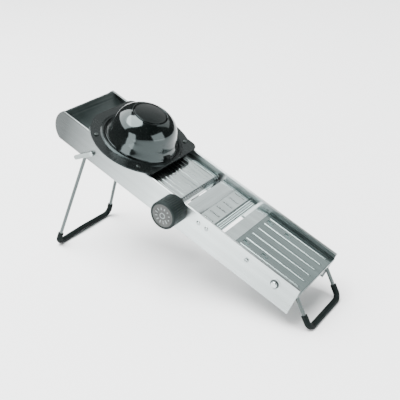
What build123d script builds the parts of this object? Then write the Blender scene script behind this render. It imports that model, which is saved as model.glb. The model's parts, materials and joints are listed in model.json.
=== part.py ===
from build123d import *
import os
from math import asin, atan2, cos, degrees, pi, radians, sin, sqrt

# Mandoline slicer, in millimetres.
#
# Every piece is drawn in the deck frame: x runs along the slicing deck from the grip end to the
# low end, y runs across it with the adjusting knob on the -y side, and z is square to the deck
# with z = 0 on top of the two side rails.  place() then tips the deck down towards +x and moves
# the whole slicer so that it stands on z = 0 with its bounding box centred on the origin.

# ---- driving dimensions -------------------------------------------------------------------

BODY_LENGTH = 400.0
BODY_WIDTH = 106.0
PANEL_HEIGHT = 45.0
SHEET = 1.2
RAIL_WIDTH = 3.2
RAIL_DEPTH = 4.5
REAR_RADIUS = 27.0
REAR_CENTRE = (17.5, -20.0)

DECK_Z = -8.5
DECK_SHEET = 1.5
BLADE_SHEET = 1.8

FEED_HINGE = (46.0, -14.0)
FEED_START = 42.5
FEED_END = 203.5
FEED_RISE = 2.8          # from rest up to flush with the straight blade
FEED_DROP = 6.2          # from rest down to the thickest slice
RIDGE_PITCH = 7.65
DECK_RIDGES = [RIDGE_PITCH * k for k in (-5, -3, -1, 1, 3, 5)]

BLADE_EDGE = 215.0
BLADE_BACK = 238.0
MID_DECK_END = 260.0
WAFFLE_EDGE = 273.2
RUNWAY_START = 277.2
RUNWAY_SEAM = 295.5
BED_START = 221.0

KNOB_AXIS = (206.7, -15.0)
KNOB_RADIUS = 19.2
KNOB_LENGTH = 28.5
KNOB_SWEEP = 110.0       # degrees of knob turn for the whole travel
SHAFT_R = 3.0
FOLLOWER_R = 1.5
FOLLOWER_OFFSET = 8.6    # follower pin below the knob axis at rest

COMB_PITCH = 4.6
COMB_TEETH = 19
COMB_TOOTH = (3.6, 0.8)
COMB_TOP = -4.2

WIRE_R = 2.5
SLEEVE_R = 4.1
BORE_GAP = 0.05
REAR_PIVOT = (46.8, -33.0)
REAR_FOOT = (53.5, -209.0)
REAR_TOP_HALF = 42.0
REAR_FOOT_HALF = 58.5
REAR_ARCH = 2.0
FRONT_PIVOT = (368.5, -16.1)
FRONT_KNEE = (394.0, -17.2)
FRONT_FOOT = (432.5, -49.8)
FRONT_HALF = 41.7
SLEEVE_RISE = 19.0
FOOT_FLAT = 0.35

LEVER_PIVOT = (63.0, -29.0)
LEVER_TIP = (40.5, -51.5)

GUARD_X = 103.0
GUARD_Y = -8.0
GUARD_R = 71.0
GUARD_FLOOR = 4.8
GUARD_FRONT = 158.5
GUARD_REAR = 34.0
GUARD_FAR = 54.0
RING_R = 54.5
DOME_WALL = 2.5
CAP_R = 22.6
CAP_Z = 50.2
CAP_GAP = 0.5
PUSHER_STROKE = 18.0

HALF = BODY_WIDTH / 2
INNER = HALF - SHEET
RAIL_INNER = HALF - RAIL_WIDTH
DECK_TILT = degrees(atan2(FRONT_FOOT[1] - REAR_FOOT[1], FRONT_FOOT[0] - REAR_FOOT[0]))


# ---- placing ------------------------------------------------------------------------------

def row_point(x, y, z):
    """A deck-frame point in the row frame, before the shift to the origin."""
    t = radians(DECK_TILT)
    return (x * cos(t) + z * sin(t), y, -x * sin(t) + z * cos(t))


def row_shift():
    """The shift that puts the middle of the standing slicer's box on the origin."""
    x_low = row_point(REAR_FOOT[0], 0, REAR_FOOT[1])[0] - SLEEVE_R
    x_high = row_point(FRONT_FOOT[0], 0, FRONT_FOOT[1])[0] + SLEEVE_R
    y_low = -HALF - KNOB_LENGTH
    y_high = REAR_FOOT_HALF + SLEEVE_R
    floor = row_point(REAR_FOOT[0], 0, REAR_FOOT[1])[2] - SLEEVE_R + FOOT_FLAT
    return (-(x_low + x_high) / 2, -(y_low + y_high) / 2, -floor)


def place(shape):
    return Pos(*row_shift()) * Rot(0, DECK_TILT, 0) * shape


# ---- small builders -----------------------------------------------------------------------

def block(x0, x1, y0, y1, z0, z1):
    return Pos((x0 + x1) / 2, (y0 + y1) / 2, (z0 + z1) / 2) * Box(x1 - x0, y1 - y0, z1 - z0)


def rod_y(x, z, radius, y0, y1):
    """A round bar across the deck."""
    return Pos(x, (y0 + y1) / 2, z) * Rot(90, 0, 0) * Cylinder(radius, y1 - y0)


def rod_z(x, y, radius, z0, z1):
    return Pos(x, y, (z0 + z1) / 2) * Cylinder(radius, z1 - z0)


def slab_y(face, y0, y1):
    """Extrude a face drawn as (x, z) across the deck from y0 to y1."""
    return Pos(0, y1, 0) * extrude(Plane.XZ * face, y1 - y0)


def outline(points):
    return make_face(Polyline(*points, close=True))


def mirrored(shape):
    return mirror(shape, about=Plane.XZ)


def both_sides(shape):
    return Compound(children=[shape, mirrored(shape)])


def group(shapes):
    return Compound(children=list(shapes))


def tube_along(points, radii, radius):
    """A round bar bent along straight runs with rounded corners."""
    path = FilletPolyline(*points, radius=radii)
    return sweep(Plane(origin=path @ 0, z_dir=path % 0) * Circle(radius), path=path)


# ---- side panels --------------------------------------------------------------------------

def panel_outline():
    """Side view of a panel: a long strip whose grip end is one large round."""
    cx, cz = REAR_CENTRE
    top_x = cx - sqrt(REAR_RADIUS ** 2 - cz ** 2)
    low_x = cx - sqrt(REAR_RADIUS ** 2 - (PANEL_HEIGHT + cz) ** 2)
    rear = ThreePointArc((top_x, 0), (cx - REAR_RADIUS, cz), (low_x, -PANEL_HEIGHT))
    lines = [rear, Line((low_x, -PANEL_HEIGHT), (BODY_LENGTH, -PANEL_HEIGHT)),
             Line((BODY_LENGTH, -PANEL_HEIGHT), (BODY_LENGTH, 0)), Line((BODY_LENGTH, 0), (top_x, 0))]
    return make_face(Wire(lines))


def panel_section():
    """Cross-section (y, z) of the near panel: rolled top rail, wall and curled lower edge."""
    wall = -HALF + SHEET / 2
    rail = -RAIL_INNER - SHEET / 2
    path = FilletPolyline((rail, -RAIL_DEPTH), (rail, -SHEET / 2), (wall, -SHEET / 2),
                          (wall, -PANEL_HEIGHT + SHEET / 2), (wall + 2.7, -PANEL_HEIGHT + SHEET / 2),
                          radius=[0.95, 0.95, 2.2])
    return trace(path, SHEET)


def raw_panel():
    strip = extrude(Plane.YZ * panel_section(), BODY_LENGTH + REAR_RADIUS)
    strip = Pos(-REAR_RADIUS, 0, 0) * strip
    return strip & slab_y(panel_outline(), -HALF, -HALF + 6)


RIVETS = [(244.4, -12.6), (257.4, -12.6)]
RUNWAY_SCREW = (322.8, -13.2)
RIVET_R = 2.0


def side_panel():
    panel = raw_panel()
    for x, z in RIVETS + [RUNWAY_SCREW]:
        panel -= rod_y(x, z, RIVET_R, -HALF - 1, -INNER + 1)
    panel -= rod_y(*FRONT_PIVOT, 4.2, -HALF - 1, -INNER + 1)
    ring = rod_y(*FRONT_PIVOT, 8.6, -HALF - 0.5, -HALF + 0.3)
    ring -= rod_y(*FRONT_PIVOT, 7.4, -HALF - 1, -HALF + 1)
    ring -= block(FRONT_PIVOT[0] - 9, FRONT_PIVOT[0], -HALF - 1, -HALF + 1, FRONT_PIVOT[1] - 9, FRONT_PIVOT[1])
    return panel + ring


def near_side_panel():
    panel = side_panel()
    panel -= rod_y(*KNOB_AXIS, 5.0, -HALF - 1, -INNER + 1)
    panel -= rod_y(*LEVER_PIVOT, 2.0 + BORE_GAP, -HALF - 1, -INNER + 1)
    return panel


def far_side_panel():
    return mirrored(side_panel())


# ---- grip end -----------------------------------------------------------------------------

GRIP_FRONT = 38.0
GRIP_FLOOR = -34.0
GRIP_SCREWS = [(14.0, -34.0), (14.0, 34.0), (30.0, -34.0), (30.0, 34.0)]


def rear_grip():
    """Moulded grip between the panels: round behind, scooped on top down to the feed plate."""
    cx, cz = REAR_CENTRE
    radius = REAR_RADIUS - 0.8
    top = (cx - sqrt(radius ** 2 - (cz + 1.0) ** 2), -1.0)
    low = (cx - sqrt(radius ** 2 - (GRIP_FLOOR - cz) ** 2), GRIP_FLOOR)
    brink = (top[0] + 2.5, -1.0)
    lines = [ThreePointArc(top, (cx - radius, cz), low), Line(low, (GRIP_FRONT, GRIP_FLOOR)),
             Line((GRIP_FRONT, GRIP_FLOOR), (GRIP_FRONT, -9.2)),
             ThreePointArc((GRIP_FRONT, -9.2), (17.0, -8.2), brink), Line(brink, top)]
    side = make_face(Wire(lines))
    grip = slab_y(side, -RAIL_INNER + 0.2, RAIL_INNER - 0.2)
    wide = slab_y(side, -INNER, INNER) & block(-20, 60, -HALF, HALF, -50, -RAIL_DEPTH - 0.4)
    grip += wide
    for x, y in GRIP_SCREWS:
        grip -= rod_z(x, y, 2.0, GRIP_FLOOR - 1, GRIP_FLOOR + 10)
    return grip


def rear_tie_plate():
    plate = block(8, 36, -INNER, INNER, GRIP_FLOOR - 1.5, GRIP_FLOOR)
    plate += both_flanges(11, 35, GRIP_FLOOR - 7, GRIP_FLOOR - 1.5)
    for x, y in GRIP_SCREWS:
        plate -= rod_z(x, y, 2.0, GRIP_FLOOR - 3, GRIP_FLOOR + 1)
    return plate


def both_flanges(x0, x1, z0, z1):
    flange = block(x0, x1, -INNER, -INNER + 1.5, z0, z1)
    return flange + mirrored(flange)


def grip_screws():
    screws = []
    for x, y in GRIP_SCREWS:
        head = rod_z(x, y, 3.6, GRIP_FLOOR - 4.0, GRIP_FLOOR - 1.5)
        head -= block(x - 2.4, x + 2.4, y - 0.4, y + 0.4, GRIP_FLOOR - 4.1, GRIP_FLOOR - 3.0)
        screws.append(head + rod_z(x, y, 2.0, GRIP_FLOOR - 1.5, GRIP_FLOOR + 9))
    return group(screws)


# ---- feed plate, comb and adjuster --------------------------------------------------------

PLATE_HALF = 51.3         # deck plates reach this close to the side panels
FEED_HALF = 49.3          # less on the knob side, where the cam turns
FLANGE_OUT = FEED_HALF
FLANGE_IN = FEED_HALF - 1.2
CAM_Y = (-INNER + 0.3, -FEED_HALF - 0.3)


def turn_about_y(x, z, angle):
    """(x, z) turned about +y by an angle in radians."""
    return (x * cos(angle) + z * sin(angle), -x * sin(angle) + z * cos(angle))


def feed_reach():
    return KNOB_AXIS[0] - FEED_HINGE[0]


def feed_limits():
    """Tilt of the feed plate from rest, in radians: flush (negative) and fully lowered."""
    return (-asin(FEED_RISE / feed_reach()), asin(FEED_DROP / feed_reach()))


def knob_ratio():
    """Feed plate tilt for each unit of knob turn."""
    flush, low = feed_limits()
    return -(low - flush) / radians(KNOB_SWEEP)


def feed_plate():
    plate = block(FEED_START, FEED_END, -FEED_HALF, PLATE_HALF, DECK_Z - DECK_SHEET, DECK_Z)
    flange = block(60, 196, -FLANGE_OUT, -FLANGE_IN, DECK_Z - 9, DECK_Z - DECK_SHEET)
    plate += flange + mirrored(flange)
    for i in range(-5, 6):
        ridge = Pos((54 + FEED_END - 2) / 2, RIDGE_PITCH * i, DECK_Z)
        plate += ridge * extrude(SlotOverall(FEED_END - 56, 2.2), 0.6)
    for y0, y1 in ((-40, -20), (-8, 8), (20, 40)):
        eye = rod_y(*FEED_HINGE, 4.0, y0, y1)
        eye += block(FEED_HINGE[0] - 3, FEED_HINGE[0] + 4, y0, y1, FEED_HINGE[1], DECK_Z - DECK_SHEET)
        plate += eye
    plate -= rod_y(*FEED_HINGE, 2.0 + BORE_GAP, -HALF, HALF)
    pin_z = KNOB_AXIS[1] - FOLLOWER_OFFSET
    tab = block(194, KNOB_AXIS[0] + 3.2, -FLANGE_OUT, -FLANGE_IN, pin_z - 3.2, DECK_Z - DECK_SHEET)
    tab -= rod_y(KNOB_AXIS[0], pin_z, FOLLOWER_R, -HALF, -40)
    return plate + tab


def feed_hinge_rod():
    return rod_y(*FEED_HINGE, 2.0, -INNER, INNER)


def cam_follower_pin():
    return rod_y(KNOB_AXIS[0], KNOB_AXIS[1] - FOLLOWER_OFFSET, FOLLOWER_R, CAM_Y[0] + 0.1, -FLANGE_IN)


def cam_track():
    """Middle line of the cam slot at rest, found by running the follower past the turning cam."""
    flush, low = feed_limits()
    arm = (KNOB_AXIS[0] - FEED_HINGE[0], KNOB_AXIS[1] - FOLLOWER_OFFSET - FEED_HINGE[1])
    points = []
    steps = 12
    shares = [-0.03] + [i / steps for i in range(steps + 1)] + [1.03]
    for share in shares:
        tilt = flush + (low - flush) * share
        px, pz = turn_about_y(*arm, tilt)
        px += FEED_HINGE[0] - KNOB_AXIS[0]
        pz += FEED_HINGE[1] - KNOB_AXIS[1]
        px, pz = turn_about_y(px, pz, -tilt / knob_ratio())
        points.append((px, pz))
    return points


def round_ended(points, radius):
    """A curved slot shape of constant width with a round at each end."""
    shape = trace(Spline(*points), 2 * radius)
    for point in (points[0], points[-1]):
        shape += Pos(*point) * Circle(radius)
    return shape


def thickness_cam():
    points = cam_track()
    slot = round_ended(points, FOLLOWER_R + 0.3)
    web = round_ended(points, FOLLOWER_R + 1.8)
    plan = Circle(5.6) + web - slot - Circle(SHAFT_R)
    return slab_y(Pos(*KNOB_AXIS) * plan, *CAM_Y)


def comb_carrier():
    half = 44.0
    bar = block(197.0, 208.0, -half, half, -21.5, -14.0)
    bar = fillet(bar.edges().filter_by(Axis.Y), 1.2)
    return bar - block(203.9, 208.1, -half + 1.4, half - 1.4, -19.4, -13.9)


def julienne_comb():
    """A steel strip with a row of upright teeth, each sharpened on the grip side."""
    length, width = COMB_TOOTH
    strip = block(203.9, 208.0, -42.4, 42.4, -19.4, -14.6)
    for i in range(COMB_TEETH):
        y = (i - (COMB_TEETH - 1) / 2) * COMB_PITCH
        tooth = outline([(204.1, -14.7), (204.1 + length, -14.7), (204.1 + length, COMB_TOP),
                         (204.1 + length * 0.45, COMB_TOP), (204.1, COMB_TOP - 2.2)])
        strip += slab_y(tooth, y - width / 2, y + width / 2)
    return strip


def comb_guides():
    """Two channels under the feed plate that hold the ends of the comb carrier."""
    channel = block(194.0, 209.8, -46.4, -39, -31.0, DECK_Z - DECK_SHEET)
    channel -= block(196.7, 208.3, -44.3, -38, -32, 0)
    channel -= block(FEED_END, 212, -50, -38, -13, 0)
    channel -= block(208.0, 212, -50, -38, -32, -30)
    return both_sides(channel)


def comb_finger_tab():
    tab = block(198.5, 206.5, -9, 9, -27.5, -21.5)
    tab = fillet(tab.edges().filter_by(Axis.Z), 2.5)
    for i in range(3):
        x = 200.4 + 2.1 * i
        tab -= block(x - 0.45, x + 0.45, -7, 7, -27.6, -26.9)
    return tab


# ---- knob ---------------------------------------------------------------------------------

KNOB_BACK = -HALF - 1.1
KNOB_FACE = -HALF - KNOB_LENGTH


def thickness_knob():
    """Plain round knob with a dished face, a soft edge and shallow grip flutes at the back."""
    body = rod_y(*KNOB_AXIS, KNOB_RADIUS, KNOB_FACE, KNOB_BACK)
    body = fillet(body.edges().group_by(Axis.Y)[0], 1.6)
    body -= rod_y(*KNOB_AXIS, KNOB_RADIUS - 3.4, KNOB_FACE - 1, KNOB_FACE + 1.0)
    body -= rod_y(*KNOB_AXIS, SHAFT_R, KNOB_FACE + 6, KNOB_BACK + 1)
    body -= rod_y(*KNOB_AXIS, 7.6, KNOB_BACK - 0.9, KNOB_BACK + 1)
    for i in range(36):
        a = 2 * pi * i / 36
        x = KNOB_AXIS[0] + (KNOB_RADIUS + 0.55) * cos(a)
        z = KNOB_AXIS[1] + (KNOB_RADIUS + 0.55) * sin(a)
        body -= rod_y(x, z, 0.9, KNOB_FACE + 9, KNOB_BACK + 1)
    return body


def knob_dial():
    """Insert in the knob's face: a raised ring of plain ticks of growing length."""
    dial = rod_y(*KNOB_AXIS, KNOB_RADIUS - 3.4, KNOB_FACE + 0.4, KNOB_FACE + 1.0)
    for i in range(12):
        length = 2.2 + 0.25 * i
        tick = Pos(11.6 - length / 2, 0) * Rectangle(length, 1.3)
        tick = Rot(0, 0, 30 * i) * tick
        dial += slab_y(Pos(*KNOB_AXIS) * tick, KNOB_FACE, KNOB_FACE + 0.5)
    hub = Circle(4.2) - Circle(3.0)
    return dial + slab_y(Pos(*KNOB_AXIS) * hub, KNOB_FACE, KNOB_FACE + 0.5)


def knob_shaft():
    return rod_y(*KNOB_AXIS, SHAFT_R, KNOB_FACE + 6, CAM_Y[1])


def knob_bush():
    bush = rod_y(*KNOB_AXIS, 5.0, -HALF, -INNER) + rod_y(*KNOB_AXIS, 7.2, -HALF - 0.7, -HALF)
    return bush - rod_y(*KNOB_AXIS, SHAFT_R + BORE_GAP, -HALF - 2, -INNER + 2)


# ---- blades and fixed deck ----------------------------------------------------------------

BED_TOP = DECK_Z - BLADE_SHEET
BED_END = 266.0
BLADE_HALF = 49.5
BLADE_SCREWS = [(229.0, -34.0), (229.0, 34.0), (263.0, -34.0), (263.0, 34.0)]


def rivet_room():
    """Room round the tails of the deck rivets, inside both side panels."""
    room = []
    for x, z in RIVETS:
        hole = rod_y(x, z, RIVET_R, -HALF, -INNER + 3)
        hole += block(x - 3.6, x + 3.6, -INNER + 1.5, -INNER + 2.5, -20, BED_TOP + 1)
        room.append(both_sides(hole))
    return group(room)


def blade_bed():
    bed = block(BED_START, BED_END, -INNER, INNER, BED_TOP - DECK_SHEET, BED_TOP)
    bed += both_flanges(BED_START + 2, BED_END - 1, -20.0, BED_TOP - DECK_SHEET)
    bed += block(BED_END - DECK_SHEET, BED_END, -INNER + 4, INNER - 4, -21.0, BED_TOP - DECK_SHEET)
    bed -= rivet_room()
    for x, y in BLADE_SCREWS:
        bed -= rod_z(x, y, 1.5, -20, BED_TOP + 1) + rod_z(x, y, 3.2, -14.2, BED_TOP - DECK_SHEET)
    return bed


def straight_blade():
    """Wide steel blade; its edge faces the grip and is ground on the underside."""
    side = outline([(BLADE_EDGE, DECK_Z), (BLADE_BACK - 0.1, DECK_Z), (BLADE_BACK - 0.1, BED_TOP),
                    (BLADE_EDGE + 4.2, BED_TOP), (BLADE_EDGE, DECK_Z - 0.15)])
    blade = slab_y(side, -BLADE_HALF, PLATE_HALF)
    for x, y in BLADE_SCREWS[:2]:
        blade -= rod_z(x, y, 1.5, BED_TOP - 1, BED_TOP + 1.2)
    return blade


def mid_deck_plate():
    plate = block(BLADE_BACK + 0.3, MID_DECK_END, -PLATE_HALF, PLATE_HALF, BED_TOP, DECK_Z)
    plate -= rivet_room()
    for y in DECK_RIDGES:
        plate += Pos(BLADE_BACK + 11.2, y, DECK_Z) * extrude(SlotOverall(16, 4.0), 0.45)
    return plate


def waffle_blade():
    """Rippled blade for crinkle and waffle cuts; its wavy edge faces the low end."""
    x0 = MID_DECK_END + 0.2
    half = 44.0
    pitch = 3.4
    depth = 0.62
    count = int(2 * half / pitch * 6)
    wave = []
    for i in range(count + 1):
        y = -half + i * pitch / 6
        wave.append((y, DECK_Z - 0.8 + depth * sin(2 * pi * y / pitch)))
    upper = [(y, z + 0.35) for y, z in wave]
    lower = [(y, z - 0.35) for y, z in reversed(wave)]
    ripple = extrude(Plane.YZ * outline(upper + lower), WAFFLE_EDGE - x0 - 1.2)
    ripple = Pos(x0 + 1.2, 0, 0) * ripple
    root = block(x0, x0 + 5.8, -half - 2, half + 2, BED_TOP, DECK_Z - 1.0)
    root += block(x0, x0 + 1.8, -PLATE_HALF, PLATE_HALF, BED_TOP, DECK_Z - 0.1)
    for side in (-1, 1):
        shoulder = Pos(x0 + 6.4, side * (half + 3.8), 0) * Rectangle(12.8, 6.6)
        root += Pos(0, 0, BED_TOP) * extrude(shoulder, BLADE_SHEET - 0.1)
    bevel = outline([(WAFFLE_EDGE + 0.1, DECK_Z - 1.1), (WAFFLE_EDGE + 0.1, DECK_Z - 3),
                     (WAFFLE_EDGE - 3, DECK_Z - 3)])
    blade = root + ripple - slab_y(bevel, -half - 3, half + 3)
    for x, y in BLADE_SCREWS[2:]:
        blade -= rod_z(x, y, 1.5, BED_TOP - 1, BED_TOP + 1.0)
    return blade


def blade_screws():
    screws = []
    for x, y in BLADE_SCREWS:
        head = rod_z(x, y, 2.8, BED_TOP - DECK_SHEET - 1.8, BED_TOP - DECK_SHEET)
        head -= block(x - 2, x + 2, y - 0.35, y + 0.35, BED_TOP - DECK_SHEET - 2, BED_TOP - DECK_SHEET - 1.1)
        screws.append(head + rod_z(x, y, 1.5, BED_TOP - DECK_SHEET, BED_TOP + 1.0))
    return group(screws)


def deck_rivets():
    rivets = []
    for x, z in RIVETS:
        rivet = rod_y(x, z, RIVET_R, -HALF, -INNER + 1.5)
        head = rod_y(x, z, 3.3, -HALF - 1.1, -HALF)
        head = fillet(head.edges().group_by(Axis.Y)[0], 0.9)
        tail = rod_y(x, z, 2.9, -INNER + 1.5, -INNER + 2.2)
        rivet += head + tail
        rivets += [rivet, mirrored(rivet)]
    return group(rivets)


def runway_lead():
    """Smooth lead-in ramp that drops towards the rippled blade."""
    z1 = DECK_Z
    z0 = DECK_Z - 1.6
    side = outline([(RUNWAY_START, z0), (RUNWAY_SEAM - 0.3, z1), (RUNWAY_SEAM - 0.3, z1 - DECK_SHEET),
                    (RUNWAY_START, z0 - DECK_SHEET)])
    lead = slab_y(side, -PLATE_HALF, PLATE_HALF)
    bridge = block(283, 300, -INNER, INNER, z1 - 4.6, z1 - 3.1)
    bridge += both_flanges(283, 300, -20, z1 - 4.6)
    pad = outline([(285, z1 - 3.2), (300, z1 - 3.2), (300, z1 - DECK_SHEET), (RUNWAY_SEAM - 0.3, z1 - DECK_SHEET),
                   (285, z1 - 2.3)])
    return lead + bridge + slab_y(pad, -40, 40)


def runway_plate():
    """Ridged run-on plate with lanced tabs and a lip turned down at the low end."""
    end = BODY_LENGTH + 1.0
    plate = block(RUNWAY_SEAM, end, -PLATE_HALF, PLATE_HALF, DECK_Z - DECK_SHEET, DECK_Z)
    plate += block(end - DECK_SHEET, end, -INNER, INNER, DECK_Z - 5.5, DECK_Z)
    plate = fillet(plate.edges().filter_by(Axis.Y).group_by(Axis.Z)[-1].sort_by(Axis.X)[-1], 1.2)
    for y in DECK_RIDGES:
        bead = Pos((301 + 394) / 2, y, DECK_Z) * extrude(SlotOverall(93, 2.6), 0.9)
        plate += bead
    for x in (306.0, 335.5):
        for y in (-30.6, 30.6):
            plate -= block(x - 4.5, x + 4.5, y - 2.2, y + 2.2, DECK_Z - 3, DECK_Z + 1)
            plate += block(x + 0.5, x + 4.6, y - 2.2, y + 2.2, DECK_Z - 0.6, DECK_Z + 0.9)
    plate += block(end - DECK_SHEET, end, 18, 26, DECK_Z - 10.5, DECK_Z - 5)
    flange = block(305, 345, -INNER, -INNER + 1.5, -19, DECK_Z)
    flange += block(305, 345, -INNER, -BLADE_HALF + 0.2, DECK_Z - DECK_SHEET, DECK_Z)
    flange -= rod_y(*RUNWAY_SCREW, RIVET_R, -HALF, -INNER + 3)
    return plate + flange + mirrored(flange)


def runway_screws():
    head = rod_y(*RUNWAY_SCREW, 3.0, -HALF - 1.6, -HALF)
    x, z = RUNWAY_SCREW
    head -= block(x - 3, x + 3, -HALF - 1.7, -HALF - 0.9, z - 0.4, z + 0.4)
    screw = head + rod_y(*RUNWAY_SCREW, RIVET_R, -HALF, -INNER + 4.2)
    return both_sides(screw)


def runway_nuts():
    nut = slab_y(Pos(*RUNWAY_SCREW) * RegularPolygon(3.6, 6), -INNER + 1.5, -INNER + 3.9)
    nut -= rod_y(*RUNWAY_SCREW, RIVET_R, -HALF, 0)
    return both_sides(nut)


def tie_rods():
    return group([rod_y(120, -36, 3.0, -INNER, INNER), rod_y(272, -36, 3.0, -INNER, INNER)])


# ---- legs ---------------------------------------------------------------------------------

def rear_leg_path():
    """Half the rear frame's corner points, pivot end first."""
    px, pz = REAR_PIVOT
    fx, fz = REAR_FOOT
    return [(px, -INNER + 0.5, pz), (px, -REAR_TOP_HALF, pz), (fx, -REAR_FOOT_HALF, fz)]


def rear_leg_wire():
    half = rear_leg_path()
    arch = (REAR_FOOT[0], 0, REAR_FOOT[1] + REAR_ARCH)
    points = half + [arch] + [(x, -y, z) for x, y, z in reversed(half)]
    return tube_along(points, [5, 9, 200, 9, 5], WIRE_R)


def split_point(a, b, run):
    """The point on the line from b towards a that lies run away from b."""
    length = sqrt(sum((p - q) ** 2 for p, q in zip(a, b)))
    return tuple(q + (p - q) * run / length for p, q in zip(a, b))


def sleeve(points, radii):
    path = FilletPolyline(*points, radius=radii)
    ring = Circle(SLEEVE_R) - Circle(WIRE_R)
    rubber = sweep(Plane(origin=path @ 0, z_dir=path % 0) * ring, path=path)
    below = Pos(0, 0, -50) * Box(1000, 400, 100)
    return (place(rubber) - below).solids().sort_by(SortBy.VOLUME)[-1]


def rear_leg_sleeve():
    top, foot = rear_leg_path()[1:]
    start = split_point(top, foot, SLEEVE_RISE)
    arch = (REAR_FOOT[0], 0, REAR_FOOT[1] + REAR_ARCH)
    points = [start, foot, arch, (foot[0], -foot[1], foot[2]), (start[0], -start[1], start[2])]
    return sleeve(points, [9, 200, 9])


def rear_leg_brackets():
    x, z = REAR_PIVOT
    bracket = block(x - 6.5, x + 6.5, -INNER, -INNER + 4.4, z - 6.5, z + 6.5)
    bracket = fillet(bracket.edges().filter_by(Axis.Y), 3)
    bracket -= rod_y(x, z, WIRE_R + BORE_GAP, -HALF, 0)
    return both_sides(bracket)


def front_leg_path():
    return [(FRONT_PIVOT[0], -HALF - 2.2, FRONT_PIVOT[1]), (FRONT_PIVOT[0], -FRONT_HALF, FRONT_PIVOT[1]),
            (FRONT_KNEE[0], -FRONT_HALF, FRONT_KNEE[1]), (FRONT_FOOT[0], -FRONT_HALF, FRONT_FOOT[1])]


def front_leg_wire():
    half = front_leg_path()
    points = half + [(x, -y, z) for x, y, z in reversed(half)]
    return tube_along(points, [5, 16, 9, 9, 16, 5], WIRE_R)


def front_leg_sleeve():
    knee, foot = front_leg_path()[2:]
    start = split_point(knee, foot, SLEEVE_RISE)
    points = [start, foot, (foot[0], -foot[1], foot[2]), (start[0], -start[1], start[2])]
    return sleeve(points, [9, 9])


def front_leg_bushes():
    bush = rod_y(*FRONT_PIVOT, 4.2, -HALF, -INNER + 1.2) + rod_y(*FRONT_PIVOT, 6.0, -HALF - 0.6, -HALF)
    bush -= rod_y(*FRONT_PIVOT, WIRE_R + BORE_GAP, -HALF - 2, 0)
    return both_sides(bush)


def front_leg_caps():
    cap = rod_y(*FRONT_PIVOT, 4.4, -HALF - 3.4, -HALF - 0.9)
    cap = fillet(cap.edges().group_by(Axis.Y)[0], 1.6)
    cap -= rod_y(*FRONT_PIVOT, WIRE_R, -HALF - 2.2, 0)
    return both_sides(cap)


# ---- leg lock lever -----------------------------------------------------------------------

def leg_lock_lever():
    """Flat lever on the outside of the near panel, over the rear leg."""
    reach = sqrt(sum((a - b) ** 2 for a, b in zip(LEVER_PIVOT, LEVER_TIP)))
    angle = degrees(atan2(LEVER_TIP[1] - LEVER_PIVOT[1], LEVER_TIP[0] - LEVER_PIVOT[0]))
    flat = Pos(reach / 2, 0) * SlotCenterToCenter(reach, 6.4)
    flat = Rot(0, 0, angle) * flat
    lever = slab_y(Pos(*LEVER_PIVOT) * flat, -HALF - 2.7, -HALF - 0.4)
    return lever - rod_y(*LEVER_PIVOT, 2.0, -HALF - 5, 0)


def lever_rivet():
    rivet = rod_y(*LEVER_PIVOT, 2.0, -HALF - 2.7, -INNER + 3.6)
    head = rod_y(*LEVER_PIVOT, 3.4, -HALF - 3.9, -HALF - 2.7)
    return rivet + fillet(head.edges().group_by(Axis.Y)[0], 0.9)


def lock_cam():
    x, z = LEVER_PIVOT
    cam = rod_y(x - 1.4, z, 5.2, -INNER + 0.4, -INNER + 3.6)
    return cam - rod_y(x, z, 2.0, -HALF, 0)


# ---- hand guard ---------------------------------------------------------------------------

def at_guard(shape):
    return Pos(GUARD_X, GUARD_Y, 0) * shape


def guard_plan():
    """Plan of the guard's base: a wide round lip on the knob side, squared on the far side."""
    front = GUARD_FRONT - GUARD_X
    rear = GUARD_REAR - GUARD_X
    far = GUARD_FAR - GUARD_Y
    square = Pos((front + rear) / 2, far / 2) * Rectangle(front - rear, far)
    square = fillet(square.vertices().group_by(Axis.Y)[-1], 12)
    disc = Circle(GUARD_R) & Pos((front + rear) / 2, 0) * Rectangle(front - rear, 3 * GUARD_R)
    return square + disc


def guard_base():
    section = Polyline((40, GUARD_FLOOR), (95, GUARD_FLOOR), (95, 6.9), (57.6, 6.9),
                       (56.2, 8.6), (54.5, 9.2), (52.9, 8.6), (52.0, 6.9), (40, 6.9), close=True)
    dish = revolve(Plane.XZ * make_face(section), Axis.Z)
    base = dish & extrude(guard_plan(), 20)
    for x, y in GUARD_STUDS:
        base -= Pos(x - GUARD_X, y - GUARD_Y, 6) * Cylinder(1.6, 8)
    return at_guard(base)


GUARD_STUDS = [(64.0, -58.5), (139.0, -58.5), (66.0, 44.0), (140.0, 44.0)]


def guard_studs():
    studs = []
    for x, y in GUARD_STUDS:
        head = Pos(x, y, 7.7) * Cylinder(2.8, 1.6)
        head = fillet(head.edges().group_by(Axis.Z)[-1], 0.7)
        studs.append(head + rod_z(x, y, 1.6, GUARD_FLOOR, 6.9))
    return group(studs)


def dome_profile(inset):
    """Half section of the dome, (r, z): flared at the foot, then a deep round up to the cap."""
    foot = (51.2 - inset, 6.9)
    waist = (46.9 - inset, 19.0)
    shoulder = (43.6 - inset * 0.95, 28.5 - inset * 0.2)
    high = (36.5 - inset * 0.75, 41.5 - inset * 0.7)
    rim = (CAP_R + CAP_GAP + 0.8, CAP_Z - inset)
    return foot, waist, shoulder, high, rim


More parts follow.
